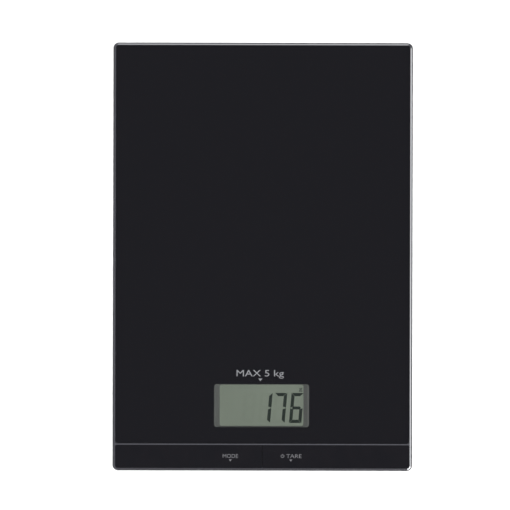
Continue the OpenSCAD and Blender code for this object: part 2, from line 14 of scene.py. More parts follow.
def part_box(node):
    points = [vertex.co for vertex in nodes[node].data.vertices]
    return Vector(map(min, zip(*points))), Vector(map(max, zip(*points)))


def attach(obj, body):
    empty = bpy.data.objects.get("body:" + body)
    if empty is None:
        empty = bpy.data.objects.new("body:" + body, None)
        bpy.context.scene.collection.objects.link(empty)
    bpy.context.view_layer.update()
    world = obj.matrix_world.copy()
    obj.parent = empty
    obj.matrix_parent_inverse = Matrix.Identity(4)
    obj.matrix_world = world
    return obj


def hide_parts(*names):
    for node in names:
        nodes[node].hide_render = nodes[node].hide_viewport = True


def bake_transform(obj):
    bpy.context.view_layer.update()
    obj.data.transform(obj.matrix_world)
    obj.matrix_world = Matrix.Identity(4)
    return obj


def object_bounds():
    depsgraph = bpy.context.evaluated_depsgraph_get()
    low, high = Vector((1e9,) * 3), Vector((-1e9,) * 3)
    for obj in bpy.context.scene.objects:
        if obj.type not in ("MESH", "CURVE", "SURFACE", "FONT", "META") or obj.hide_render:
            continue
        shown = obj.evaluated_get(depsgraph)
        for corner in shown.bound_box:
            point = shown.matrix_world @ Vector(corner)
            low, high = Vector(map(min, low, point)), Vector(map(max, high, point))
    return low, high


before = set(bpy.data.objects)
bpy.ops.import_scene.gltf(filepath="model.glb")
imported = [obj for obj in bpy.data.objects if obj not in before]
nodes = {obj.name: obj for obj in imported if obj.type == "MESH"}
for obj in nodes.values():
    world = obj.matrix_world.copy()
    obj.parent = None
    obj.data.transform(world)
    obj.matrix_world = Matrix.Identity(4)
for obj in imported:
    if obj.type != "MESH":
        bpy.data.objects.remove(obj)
cad_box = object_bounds()
mm = 0.001
print("size in mm:", [round(side / mm, 2) for side in cad_box[1] - cad_box[0]])

# %% [markdown]
# ## Tools for the bench
# Blender's operators act on whatever is selected, and the imported parts arrive selected. So every step
# starts by letting go of everything. Pieces are settled (their place goes into the mesh) as soon as they
# are made, so a face can be picked later by where it is on the scale.

# %% Picking up one piece, settling it, and picking faces and edges by place
def take(piece):
    bpy.ops.object.select_all(action="DESELECT")
    piece.select_set(True)
    bpy.context.view_layer.objects.active = piece


def settle(piece):
    take(piece)
    bpy.ops.object.transform_apply(location=True, rotation=True, scale=True)
    return piece


def pick(piece, kind, wanted):
    """Goes into edit mode with only the wanted faces or edges selected, and says how many."""
    take(piece)
    bpy.ops.object.mode_set(mode="EDIT")
    bpy.ops.mesh.select_mode(type=kind)
    bpy.ops.mesh.select_all(action="DESELECT")
    bpy.ops.object.mode_set(mode="OBJECT")
    mesh = piece.data
    found = 0
    if kind == "FACE":
        for face in mesh.polygons:
            face.select = wanted(face.center, face.normal)
            found += face.select
    else:
        for edge in mesh.edges:
            a, b = (mesh.vertices[i].co for i in edge.vertices)
            edge.select = wanted(a, b)
            found += edge.select
    bpy.ops.object.mode_set(mode="EDIT")
    return found


def open_up(piece):
    """Goes into edit mode with everything selected."""
    take(piece)
    bpy.ops.object.mode_set(mode="EDIT")
    bpy.ops.mesh.select_all(action="SELECT")


def done():
    bpy.ops.object.mode_set(mode="OBJECT")


def near(value, target, slack=0.02 * mm):
    return abs(value - target) < slack


def upright(a, b):
    return near(a.x, b.x) and near(a.y, b.y) and not near(a.z, b.z)


# %% Blocks, cylinders, cuts and smooth shading
def block(name, low, high):
    """A box between two corners."""
    low, high = Vector(low), Vector(high)
    bpy.ops.mesh.primitive_cube_add(size=1, location=(low + high) / 2)
    piece = bpy.context.object
    piece.name = name
    piece.scale = high - low
    return settle(piece)


def turned(name, centre, radius, low, high, steps=64):
    """A round bar that stands on its end, from height low to height high."""
    place = (centre[0], centre[1], (low + high) / 2)
    bpy.ops.mesh.primitive_cylinder_add(vertices=steps, radius=radius, depth=high - low, location=place)
    bpy.context.object.name = name
    return settle(bpy.context.object)


def round_corners(piece, radius, which=lambda a: True, steps=6):
    pick(piece, "EDGE", lambda a, b: upright(a, b) and which(a))
    bpy.ops.mesh.bevel(offset=radius, segments=steps)
    done()


def ease_rim(piece, height, width, steps=3, facing=1):
    """Rounds the edge all round the flat face at that height."""
    pick(piece, "FACE", lambda c, n: near(c.z, height) and n.z * facing > 0.99)
    bpy.ops.mesh.region_to_loop()
    bpy.ops.mesh.bevel(offset=width, segments=steps)
    done()


def cut(piece, cutter):
    """Takes the cutter's shape out of the piece, and throws the cutter away."""
    take(piece)
    knife = piece.modifiers.new("cut", "BOOLEAN")
    knife.operation = "DIFFERENCE"
    knife.solver = "EXACT"
    knife.object = cutter
    bpy.ops.object.modifier_apply(modifier=knife.name)
    bpy.data.objects.remove(cutter)


def smooth(piece, angle=30):
    """Smooth shading that keeps sharp edges sharp and lets the large flat faces stay flat."""
    take(piece)
    bpy.ops.object.shade_smooth_by_angle(angle=math.radians(angle))
    flat_first = piece.modifiers.new("flat_first", "WEIGHTED_NORMAL")
    flat_first.keep_sharp = True
    flat_first.weight = 100
    bpy.ops.object.modifier_apply(modifier=flat_first.name)


def join(name, pieces):
    take(pieces[0])
    for other in pieces[1:]:
        other.select_set(True)
    bpy.ops.object.join()
    pieces[0].name = name
    return pieces[0]


def twin(piece, name, move):
    """A copy with its own mesh, set down somewhere else."""
    copy = piece.copy()
    copy.data = piece.data.copy()
    copy.name = name
    bpy.context.scene.collection.objects.link(copy)
    copy.data.transform(Matrix.Translation(move))
    return copy


def refined(name, node):
    """A copy of a CAD node with its loose triangles welded and its flat faces made whole again."""
    copy = nodes[node].copy()
    copy.data = nodes[node].data.copy()
    copy.name = name
    for key in list(copy.keys()):
        del copy[key]
    bpy.context.scene.collection.objects.link(copy)
    copy.parent = None
    open_up(copy)
    bpy.ops.mesh.remove_doubles(threshold=0.002 * mm)
    bpy.ops.mesh.dissolve_limited(angle_limit=math.radians(0.5))
    done()
    return copy


def say(piece):
    print(f"{piece.name}: {len(piece.data.polygons)} faces")


# %% [markdown]
# ## Camera
# A product like this is shot square from above with a long lens, so that its sides vanish and the
# outline stays true. The lens is 100 mm, and the height is what puts the rim at the right size. The
# camera is turned a hair, because nobody lays a scale down perfectly straight.

# %% Camera
lens = 100
sensor = 36
view_width = 273.65 * mm
aim = Vector((-4.15 * mm, 0.93 * mm, cad_box[1].z))
camera_data = bpy.data.cameras.new("camera")
camera_data.lens = lens
camera_data.sensor_width = sensor
camera = bpy.data.objects.new("camera", camera_data)
bpy.context.scene.collection.objects.link(camera)
camera.location = aim + Vector((0, 0, view_width * lens / sensor))
camera.rotation_euler = (0, 0, 0.0024)
bpy.context.scene.camera = camera
bpy.context.scene.view_settings.view_transform = "Standard"
print("camera height in mm:", round(camera.location.z / mm, 1))

# %% [markdown]
# ## The glass platform
# The platform is a sheet of toughened float glass, 3 mm thick, with its corners radiused and its edges
# ground to a small arris. It is clear: the black comes from an ink layer printed on its underside. A box
# with bevelled corner edges and a two-step bevel round the top gives exactly that.

# %% Glass slab
glass_low, glass_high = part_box("glass_platform")
front_corner = 0.8 * mm
back_corner = 1.55 * mm
arris = 0.15 * mm
glass = block("platform_glass", glass_low, glass_high)
round_corners(glass, front_corner, lambda a: a.y < 0)
round_corners(glass, back_corner, lambda a: a.y > 0)
ease_rim(glass, glass_high.z, arris, steps=2)
ease_rim(glass, glass_low.z, arris, steps=2, facing=-1)
smooth(glass)
say(glass)

# %% [markdown]
# ## The black print and its window
# The ink is a thin opaque film. It stops just short of the ground edge and leaves a clear window over
# the display. The film lies just inside the glass, so light meets it without an air gap, as it does with
# real ink, and the black stays deep.

# %% Ink film with the window cut out
film_margin = 0.06 * mm
film_low = glass_low.z + 0.005 * mm
film_high = glass_low.z + 0.03 * mm
window_size = Vector((51.1, 23.2)) * mm
window_centre = Vector((-0.42 * mm, -80.1 * mm))
window_corner = 1.5 * mm
film = block(
    "black_print",
    (glass_low.x + film_margin, glass_low.y + film_margin, film_low),
    (glass_high.x - film_margin, glass_high.y - film_margin, film_high),
)
round_corners(film, 1 * mm)
window = block(
    "window",
    (window_centre.x - window_size.x / 2, window_centre.y - window_size.y / 2, film_low - mm),
    (window_centre.x + window_size.x / 2, window_centre.y + window_size.y / 2, film_high + mm),
)
round_corners(window, window_corner)
cut(film, window)
say(film)

# %% [markdown]
# ## The two keys
# Each half of the front strip is one glossy moulding that rocks on two small trunnions. The working
# parts under it are right as they are, so the cap is refined and not rebuilt: its triangles are welded,
# and the edge of its top face gets the small radius that a mould leaves.

# %% Key caps
key_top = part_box("zero_key")[1].z
key_round = 0.12 * mm
key_caps = {}
for side in ("unit", "zero"):
    cap = refined(side + "_key_cap", side + "_key")
    ease_rim(cap, key_top, key_round)
    smooth(cap)
    key_caps[side] = cap
    say(cap)

# %% [markdown]
# ### A strip of painted shade under the seam
# Between the two keys the bright frame would shine through the seam as a pale line. A thin black strip
# on the frame is painted shade: it darkens the seam as the seam's own shadow would. It is low enough for
# both keys to be pressed fully.

# %% Seam strip of painted shade
key_low, key_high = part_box("zero_key")
tape_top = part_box("glass_tape")[1].z
seam_half = 1.6 * mm
seam_margin = 0.1 * mm
seam_low = tape_top - 0.2 * mm
seam_high = tape_top - 0.05 * mm
# a black strip of painted shade under the key seam
seam = block(
    "key_seam_shade_strip",
    (-seam_half, key_low.y + seam_margin, seam_low),
    (seam_half, key_high.y - seam_margin, seam_high),
)
ease_rim(seam, seam_high, 0.04 * mm, steps=2)
say(seam)

# %% [markdown]
# ## Printed words and signs
# The legends are pad-printed in a soft grey. Text becomes a mesh before it is placed, because it is set
# out flat at the origin and stretched to its real width first. The words name functions only.

# %% Lettering
CAPITAL_SHARE = 0.7  # of the font's size
PRINT_T = 0.01 * mm


def lettering(name, words, cap_height, width, centre, height):
    """Flat lettering of that width, with its baseline half a capital below the centre."""
    bpy.ops.object.select_all(action="DESELECT")
    bpy.ops.object.text_add(location=(0, 0, 0))
    text = bpy.context.object
    text.name = name
    text.data.body = words
    text.data.size = cap_height / CAPITAL_SHARE
    text.data.extrude = PRINT_T / 2
    text.data.align_x = "CENTER"
    text.data.resolution_u = 4
    take(text)
    bpy.ops.object.convert(target="MESH")
    text = bpy.context.object
    text.scale.x = width / text.dimensions.x
    settle(text)
    xs = [v.co.x for v in text.data.vertices]
    middle = (min(xs) + max(xs)) / 2
    text.data.transform(Matrix.Translation((centre[0] - middle, centre[1] - cap_height / 2, height)))
    print(name, "letters are", round(cap_height / mm, 2), "mm high")
    return text


def pointer(name, centre, width, height, thickness=PRINT_T):
    """A small triangle that points towards the front edge."""
    bpy.ops.object.select_all(action="DESELECT")
    place = (centre[0], centre[1], height)
    radius = width / math.sqrt(3)
    bpy.ops.mesh.primitive_cylinder_add(vertices=3, radius=radius, depth=thickness, location=place)
    sign = bpy.context.object
    sign.name = name
    sign.rotation_euler.z = math.pi
    sign.scale.y = 0.75
    return settle(sign)


def power_ring(name, centre, radius, height):
    """The ring with a short upright bar, the common sign for switching on."""
    half = PRINT_T / 2
    stroke = radius * 0.32
    ring = turned(name, centre, radius, height - half, height + half, 32)
    cut(ring, turned("hole", centre, radius - stroke, height - mm, height + mm, 32))
    gap = radius * 0.42
    low = (centre[0] - gap, centre[1], height - mm)
    cut(ring, block("gap", low, (centre[0] + gap, centre[1] + 2 * radius, height + mm)))
    bar_low = (centre[0] - stroke / 2, centre[1] + radius * 0.1, height - half)
    bar = block("bar", bar_low, (centre[0] + stroke / 2, centre[1] + radius * 1.15, height + half))
    return join(name, [ring, bar])


# %% Words on the keys and above the window
on_key = key_top + PRINT_T / 2
word_y = -106.95 * mm
sign_y = -109.15 * mm
word_h = 2.1 * mm
word_w = 8.2 * mm
sign_w = 1.7 * mm
mode_x = -17.1 * mm
mode_word = lettering("mode_word", "MODE", word_h, word_w, (mode_x, word_y), on_key)
mode_sign = pointer("mode_sign", (mode_x, sign_y), sign_w, on_key)
tare_word = lettering("tare_word", "TARE", word_h, word_w, (17 * mm, word_y), on_key)
tare_sign = pointer("tare_sign", (15.3 * mm, sign_y), sign_w, on_key)
power_sign = power_ring("power_sign", (10.9 * mm, word_y), 0.95 * mm, on_key)
mode_print = join("mode_key_print", [mode_word, mode_sign])
tare_print = join("tare_key_print", [tare_word, tare_sign, power_sign])
in_glass = film_high + 0.01 * mm
limit_place = (-1.2 * mm, -62.6 * mm)
limit_word = lettering("limit_word", "MAX 5 kg", 3.5 * mm, 25.5 * mm, limit_place, in_glass)
limit_sign = pointer("limit_sign", (-1.1 * mm, -66 * mm), 2.2 * mm, in_glass)
limit_print = join("limit_print", [limit_word, limit_sign])
for printed in (mode_print, tare_print, limit_print):
    say(printed)

# %% [markdown]
# ## The display
# A liquid crystal cell is a sandwich: two thin glasses, the lower one longer so that its contacts stay
# bare, and a polariser film on top. Each layer is a box with eased edges. The numbers are opaque bars in
# the liquid crystal, and the bars that are switched off still show very faintly.

# %% Glasses and polariser
cell_low, cell_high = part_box("lcd_panel")
plate_t = 1.1 * mm
polariser_t = 0.2 * mm
ledge = 1.3 * mm
lower = block("lower", cell_low, (cell_high.x, cell_high.y, cell_low.z + plate_t))
upper = block(
    "upper",
    (cell_low.x, cell_low.y + ledge, cell_low.z + plate_t),
    (cell_high.x, cell_high.y - ledge, cell_high.z - polariser_t),
)
for plate in (lower, upper):
    ease_rim(plate, max(v.co.z for v in plate.data.vertices), 0.1 * mm, steps=1)
cell = join("display_cell", [lower, upper])
polariser = block(
    "display_polariser",
    (cell_low.x + 0.6 * mm, cell_low.y + ledge + 0.5 * mm, cell_high.z - polariser_t),
    (cell_high.x - 0.6 * mm, cell_high.y - ledge - 0.5 * mm, cell_high.z - 0.03 * mm),
)
round_corners(polariser, 0.4 * mm, steps=3)
say(cell)
say(polariser)

# %% [markdown]
# ### Seven bars make a number
# Every bar starts as a plane. Its inner edge is shortened, so that neighbours meet in a mitre with a
# fine gap, and the plane is then thickened. A whole number leans over by five degrees.

# %% One bar, and one number
digit_w = 6.7 * mm
digit_h = 16.2 * mm
stroke = 1.75 * mm
bar_gap = 0.2 * mm
lean = math.tan(math.radians(5))
long_bar = digit_h / 2 - bar_gap
wide_bar = digit_w - 2 * bar_gap
side_x = (digit_w - stroke) / 2
top_y = (digit_h - stroke) / 2
mid_y = digit_h / 4
# name: middle of the bar, its size, which way its inner side lies
BARS = {
    "top": ((0, top_y), (wide_bar, stroke), (0, -1)),
    "bottom": ((0, -top_y), (wide_bar, stroke), (0, 1)),
    "upper_left": ((-side_x, mid_y), (stroke, long_bar), (1, 0)),
    "upper_right": ((side_x, mid_y), (stroke, long_bar), (-1, 0)),
    "lower_left": ((-side_x, -mid_y), (stroke, long_bar), (1, 0)),
    "lower_right": ((side_x, -mid_y), (stroke, long_bar), (-1, 0)),
}
NUMBERS = {
    "1": ("upper_right", "lower_right"),
    "7": ("top", "upper_right", "lower_right"),
    "6": ("top", "upper_left", "middle", "lower_left", "lower_right", "bottom"),
}


def plane(size):
    bpy.ops.object.select_all(action="DESELECT")
    bpy.ops.mesh.primitive_plane_add(size=1, location=(0, 0, 0))
    piece = bpy.context.object
    piece.scale = (size[0], size[1], 1)
    return settle(piece)


def mitred_bar(name):
    middle, size, inward = BARS[name]
    bar = plane(size)
    along = 1 if inward[0] else 0
    side = 1 - along
    edge = Vector(inward) * size[side] / 2
    pick(bar, "EDGE", lambda a, b: near(a[side], edge[side]) and near(b[side], edge[side]))
    shorter = (size[along] - (1.3 if along else 2) * stroke) / size[along]
    factors = [1, 1, 1]
    factors[along] = shorter
    bpy.ops.transform.resize(value=factors, center_override=(edge.x, edge.y, 0))
    if along:
        towards_middle = -math.copysign(stroke / 4, middle[1])
        bpy.ops.transform.translate(value=(0, towards_middle, 0))
    done()
    bar.data.transform(Matrix.Translation((*middle, 0)))
    return bar


def middle_bar():
    bar = plane((digit_w - stroke - 2 * bar_gap, stroke * 0.9))
    open_up(bar)
    bpy.ops.mesh.bevel(offset=stroke * 0.3, affect="VERTICES")
    done()
    return bar


def number(name, bars, x, y, z, thickness):
    parts = [middle_bar() if bar == "middle" else mitred_bar(bar) for bar in bars]
    whole = join(name, parts)
    open_up(whole)
    bpy.ops.mesh.extrude_region_move(TRANSFORM_OT_translate={"value": (0, 0, thickness)})
    bpy.ops.mesh.select_all(action="SELECT")
    bpy.ops.mesh.normals_make_consistent(inside=False)
    done()
    slant = Matrix.Identity(4)
    slant[0][1] = lean
    whole.data.transform(Matrix.Translation((x, y, z)) @ slant)
    return whole


# %% The reading, and the bars that are off
digit_y = -81.5 * mm
digit_z = cell_high.z - 0.03 * mm
bar_t = 0.02 * mm
digit_xs = {"7.": -7.2 * mm, "1": 1.5 * mm, "7": 9.4 * mm, "6": 18.4 * mm}
lit = [number("digit_" + n, NUMBERS[n], digit_xs[n], digit_y, digit_z, bar_t) for n in "176"]
unit_place = (20.7 * mm, -71 * mm)
unit_letter = lettering("unit_letter", "g", 2.2 * mm, 1.9 * mm, unit_place, digit_z + PRINT_T / 2)
reading = join("display_reading", lit + [unit_letter])
ALL_BARS = (*BARS, "middle")
off = []
for n, x in digit_xs.items():
    dark = [bar for bar in ALL_BARS if bar not in NUMBERS.get(n, ())]
    off.append(number("off_" + n, dark, x, digit_y, digit_z, bar_t / 2))
ghosts = join("display_idle_bars", off)
say(reading)
say(ghosts)

# %% [markdown]
# ### The frame round the display
# Between the window and the cell sits a grey frame whose sides slope down to the display. The slope is
# cut by a block whose lower face has been shrunk, and the cell's own pocket is cut from below.

# %% Sloped frame
bezel_low, bezel_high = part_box("lcd_frame")
view_size = Vector((45, 22.2)) * mm
slope_out = Vector((2.2, 0.9)) * mm
slope_foot = cell_high.z - 0.05 * mm
bezel = block("display_bezel", bezel_low, bezel_high)
round_corners(bezel, 1 * mm, steps=4)
view_x, view_y = window_centre
opening = block(
    "opening",
    (view_x - view_size.x / 2 - slope_out.x, view_y - view_size.y / 2 - slope_out.y, slope_foot),
    (view_x + view_size.x / 2 + slope_out.x, view_y + view_size.y / 2 + slope_out.y, bezel_high.z),
)
round_corners(opening, 1.2 * mm, steps=5)
pick(opening, "FACE", lambda c, n: near(c.z, slope_foot) and n.z < -0.99)
shrink = [view_size[i] / (view_size[i] + 2 * slope_out[i]) for i in (0, 1)]
bpy.ops.transform.resize(value=(*shrink, 1), center_override=(view_x, view_y, slope_foot))
bpy.ops.mesh.extrude_region_move(TRANSFORM_OT_translate={"value": (0, 0, -mm)})
done()
pick(opening, "FACE", lambda c, n: near(c.z, bezel_high.z) and n.z > 0.99)
bpy.ops.mesh.extrude_region_move(TRANSFORM_OT_translate={"value": (0, 0, mm)})
done()
cut(bezel, opening)
play = 0.2 * mm
pocket = block(
    "pocket",
    (cell_low.x - play, cell_low.y - play, bezel_low.z - mm),
    (cell_high.x + play, cell_high.y + play, cell_high.z),
)
cut(bezel, pocket)
smooth(bezel)
say(bezel)

# %% [markdown]
# ## Feet
# Each foot is a turned cup that carries a soft rubber pad. A cylinder is the start: its upper face is
# widened into the flange that holds it in the base, and its lower face is sunk to seat the pad. The pad
# gets rings, as such pads have to grip a wet worktop. One foot is made and the others are copies.

# %% One foot cup
FEET = ("front_left", "front_right", "rear_left", "rear_right")


def foot_centre(name):
    low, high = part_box("foot_" + name)
    return Vector(((low.x + high.x) / 2, (low.y + high.y) / 2, 0))


def widen(piece, height, ratio, centre, lift, facing=1):
    """Extrudes the flat end face, scales it about the foot's axis and moves it up or down."""
    pick(piece, "FACE", lambda c, n: near(c.z, height) and n.z * facing > 0.99)
    bpy.ops.mesh.extrude_region_move(TRANSFORM_OT_translate={"value": (0, 0, 0)})
    bpy.ops.transform.resize(value=(ratio, ratio, 1), center_override=(centre.x, centre.y, height))
    if lift:
        bpy.ops.mesh.extrude_region_move(TRANSFORM_OT_translate={"value": (0, 0, lift)})
    done()


def on_ring(a, b, centre, radius, height):
    return all(near(p.z, height) and near((p - centre).xy.length, radius, 0.05 * mm) for p in (a, b))


home = foot_centre("front_left")
cup_r = 9.5 * mm
flange_r = 11.5 * mm
neck_r = 4 * mm
seat_r = 7.6 * mm
cup_low = 0.9 * mm
seat_z = 1.5 * mm
flange_low = 4.5 * mm
flange_top = 5.7 * mm
neck_top = 6.6 * mm
cup = turned("foot_cup_front_left", home, cup_r, cup_low, flange_low)
widen(cup, flange_low, flange_r / cup_r, home, flange_top - flange_low)
widen(cup, flange_top, neck_r / flange_r, home, neck_top - flange_top)
widen(cup, cup_low, seat_r / cup_r, home, seat_z - cup_low, facing=-1)
pick(cup, "EDGE", lambda a, b: on_ring(a, b, home, cup_r, cup_low))
bpy.ops.mesh.bevel(offset=0.6 * mm, segments=4)
done()
pick(cup, "EDGE", lambda a, b: (on_ring(a, b, home, seat_r, cup_low)
                               or on_ring(a, b, home, flange_r, flange_top)))
bpy.ops.mesh.bevel(offset=0.15 * mm, segments=2)
done()
smooth(cup, 40)
say(cup)

# %% One rubber pad, with its grip rings
pad_r = 7.4 * mm
pad_top = 1.5 * mm
ring_rs = [r * mm for r in (6.6, 6.1, 4.9, 4.4, 3.2, 2.7)]
groove = 0.35 * mm
pad = turned("foot_pad_ring_front_left", home, pad_r, 0, pad_top)
outer = pad_r
for ring_r in ring_rs:
    pick(pad, "FACE", lambda c, n: n.z < -0.99 and (c - home).xy.length < 0.5 * mm)
    bpy.ops.mesh.inset(thickness=(outer - ring_r) * math.cos(math.pi / 64), depth=0)
    done()
    outer = ring_r
for inner, wide in zip(ring_rs[1::2], ring_rs[0::2]):
    middle = (inner + wide) / 2
    pick(pad, "FACE", lambda c, n: n.z < -0.99 and near((c - home).xy.length, middle, 0.15 * mm))
    bpy.ops.mesh.extrude_region_move(TRANSFORM_OT_translate={"value": (0, 0, groove)})
    done()
pick(pad, "EDGE", lambda a, b: on_ring(a, b, home, pad_r, 0))
bpy.ops.mesh.bevel(offset=0.3 * mm, segments=3)
done()
smooth(pad, 40)
say(pad)

# %% The other three feet
cups = {"front_left": cup}
pads = {"front_left": pad}
for name in FEET[1:]:
    move = foot_centre(name) - home
    cups[name] = twin(cup, "foot_cup_" + name, move)
    pads[name] = twin(pad, "foot_pad_ring_" + name, move)
print("feet:", len(cups))

# %% [markdown]
# ## Load cells that bend
# Each foot pushes on the tongue of a load cell. The stamped plate stays put, so the tongue is cut out of
# it and made again as a bar with many rows across, which can bend. The strain gauge is glued over the
# bend, so it is made the same way.

# %% A bar with rows across it, and where it lies
def strip(name, low, high, rows=16):
    piece = block(name, low, high)
    pick(piece, "EDGE", lambda a, b: not near(a.y, b.y))
    bpy.ops.mesh.subdivide(number_cuts=rows)
    done()
    smooth(piece)
    return piece


def rootward(foot):
    """Which way along Y a tongue's root lies from its foot: towards the middle of the scale."""
    return 1 if foot.startswith("front") else -1


def over_foot(foot, half, ends, low, high):
    """Two corners of a bar over a foot. Its ends are measured towards the tongue's root."""
    centre = foot_centre(foot)
    y_low, y_high = sorted(centre.y + rootward(foot) * end for end in ends)
    return (centre.x - half, y_low, low), (centre.x + half, y_high, high)


# %% A plate, a tongue and a gauge for each foot
tongue_half = 5 * mm
slot_middle = 6 * mm
tongue_root = 6.8 * mm
tongue_tip = -8 * mm
tip_slot = -9 * mm
gauge_half = 3 * mm
gauge_ends = (4.2 * mm, 8.2 * mm)
gauge_thick = 0.1 * mm
plate_low, plate_high = (corner.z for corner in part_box("load_cell_front_left"))
hole_ends = (tip_slot, tongue_root)
tongue_ends = (tongue_tip, tongue_root)
plates = {}
tongues = {}
gauges = {}
for name in FEET:
    plates[name] = refined("load_cell_plate_" + name, "load_cell_" + name)
    hole = over_foot(name, slot_middle, hole_ends, plate_low - mm, plate_high + mm)
    cut(plates[name], block("hole", *hole))
    smooth(plates[name])
    bar = over_foot(name, tongue_half, tongue_ends, plate_low, plate_high)
    tongues[name] = strip("load_cell_tongue_" + name, *bar)
    glued = over_foot(name, gauge_half, gauge_ends, plate_high, plate_high + gauge_thick)
    gauges[name] = strip("strain_gauge_" + name, *glued)
say(plates["front_left"])
say(tongues["front_left"])

# %% [markdown]
# ## Cover screws
# Six small pan-head screws hold the base. The head is a cylinder with a generous bevel, so it looks
# domed, and a tapered cross is cut into it. One is made, and the six are joined as one set.

# %% One screw and its five copies
screw_low, screw_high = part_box("cover_screws")
head_r = 2.5 * mm
head_h = 1.6 * mm
shank_r = 1.2 * mm
screw_xs = (screw_low.x + head_r, screw_high.x - head_r)
screw_ys = (screw_low.y + head_r, 0, screw_high.y - head_r)
first = Vector((screw_xs[0], screw_ys[0], 0))
head_low = screw_low.z
screw = turned("cover_screw_set", first, head_r, head_low, head_low + head_h, 48)
ease_rim(screw, head_low, 0.55 * mm, steps=4, facing=-1)
widen(screw, head_low + head_h, shank_r / head_r, first, screw_high.z - head_low - head_h)
recess_long = 1.35 * mm
recess_wide = 0.33 * mm
recess_deep = 0.9 * mm
recess_taper = 0.6
for turn in (0, 90):
    half = Vector((recess_long, recess_wide) if turn == 0 else (recess_wide, recess_long))
    arm = block("arm", (first.x - half.x, first.y - half.y, head_low - mm),
                (first.x + half.x, first.y + half.y, head_low + recess_deep))
    pick(arm, "FACE", lambda c, n: n.z > 0.99)
    tip = (first.x, first.y, head_low + recess_deep)
    bpy.ops.transform.resize(value=(recess_taper, recess_taper, 1), center_override=tip)
    done()
    cut(screw, arm)
smooth(screw, 35)
copies = [twin(screw, "screw", (x - first.x, y - first.y, 0)) for x in screw_xs for y in screw_ys]
bpy.data.objects.remove(screw)
screws = join("cover_screw_set", copies)
say(screws)

# %% [markdown]
# ## Battery door and cell
# The door keeps its hinge, latch and slits, so it too is refined, and a small printed arrow by the latch
# shows which way to push it. The coin cell behind it is a steel can with a rolled lip, an
# insulating ring and a second, smaller lid, and its flat side carries a plus sign.

# %% Door and arrow
door_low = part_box("battery_door")[0]
door = refined("battery_door_shell", "battery_door")
smooth(door)
arrow = pointer("door_arrow", (0, -19 * mm), 4 * mm, door_low.z, thickness=0.04 * mm)
say(door)

# %% Coin cell
can_low, can_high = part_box("coin_cell")
cell_centre = Vector(((can_low.x + can_high.x) / 2, (can_low.y + can_high.y) / 2, 0))
can_r = (can_high.x - can_low.x) / 2
lip_z = can_high.z - 0.3 * mm
lid_r = 8.8 * mm
can = turned("battery_can", cell_centre, can_r, can_low.z, lip_z, 96)
ease_rim(can, can_low.z, 0.4 * mm, steps=4, facing=-1)
ease_rim(can, lip_z, 0.25 * mm, steps=3)
widen(can, lip_z, (lid_r + 0.5 * mm) / (can_r - 0.25 * mm), cell_centre, -0.25 * mm)
smooth(can, 35)
ring = turned("battery_seal", cell_centre, lid_r + 0.45 * mm, lip_z - 0.24 * mm, lip_z + 0.05 * mm, 96)
lid = turned("battery_lid", cell_centre, lid_r, lip_z, can_high.z, 96)
ease_rim(lid, can_high.z, 0.2 * mm, steps=3)
smooth(lid, 35)
plus_t = 0.05 * mm
plus_y = cell_centre.y + 5 * mm
plus_long = 2 * mm
plus_thin = 0.4 * mm
arms = [
    block("arm", (cell_centre.x - half_x, plus_y - half_y, can_low.z - plus_t),
          (cell_centre.x + half_x, plus_y + half_y, can_low.z + plus_t))
    for half_x, half_y in ((plus_long, plus_thin), (plus_thin, plus_long))
]
plus = join("battery_plus_sign", arms)
say(can)

# %% [markdown]
# # Finishes
# Every finish is one Principled shader fed by a few shared effects. The effects are node groups, so the
# same grain, wear or dust can be used at another size and strength on another material.

# %% A helper that builds node groups
def group(name, inputs, outputs):
    tree = bpy.data.node_groups.new(name, "ShaderNodeTree")
    for socket, value in inputs.items():
        made = tree.interface.new_socket(socket, in_out="INPUT", socket_type="NodeSocketFloat")
        made.default_value = value
    for socket in outputs:
        tree.interface.new_socket(socket, in_out="OUTPUT", socket_type="NodeSocketFloat")
    return tree, tree.nodes.new("NodeGroupInput"), tree.nodes.new("NodeGroupOutput")


def math_node(tree, operation, a, b=None, clamp=False):
    node = tree.nodes.new("ShaderNodeMath")
    node.operation = operation
    node.use_clamp = clamp
    for socket, value in zip(node.inputs, (a, b)):
        if value is None:
            continue
        if isinstance(value, (int, float)):
            socket.default_value = value
        else:
            tree.links.new(value, socket)
    return node.outputs[0]


def noise(tree, scale, detail=2, stretch=None):
    """Noise in the piece's own coordinates. Scale is a number or a socket, per metre."""
    place = tree.nodes.new("ShaderNodeTexCoord").outputs["Object"]
    if stretch:
        mapping = tree.nodes.new("ShaderNodeMapping")
        mapping.inputs["Scale"].default_value = stretch
        tree.links.new(place, mapping.inputs["Vector"])
        place = mapping.outputs["Vector"]
    node = tree.nodes.new("ShaderNodeTexNoise")
    node.inputs["Detail"].default_value = detail
    tree.links.new(place, node.inputs["Vector"])
    if isinstance(scale, (int, float)):
        node.inputs["Scale"].default_value = scale
    else:
        tree.links.new(scale, node.inputs["Scale"])
    return node.outputs["Fac"]


def ramp(tree, value, low, high, out_low=0.0, out_high=1.0):
    node = tree.nodes.new("ShaderNodeMapRange")
    node.interpolation_type = "SMOOTHSTEP"
    tree.links.new(value, node.inputs["Value"])
    ends = {"From Min": low, "From Max": high, "To Min": out_low, "To Max": out_high}
    for socket, end in ends.items():
        node.inputs[socket].default_value = end
    return node.outputs["Result"]


# %% [markdown]
# ## Moulded grain
# Moulds for plain plastic are spark-eroded, which leaves a fine, even, sandy grain. Two sizes of noise
# added together look like it. The group gives the height for a bump and a tone for small shifts of gloss.

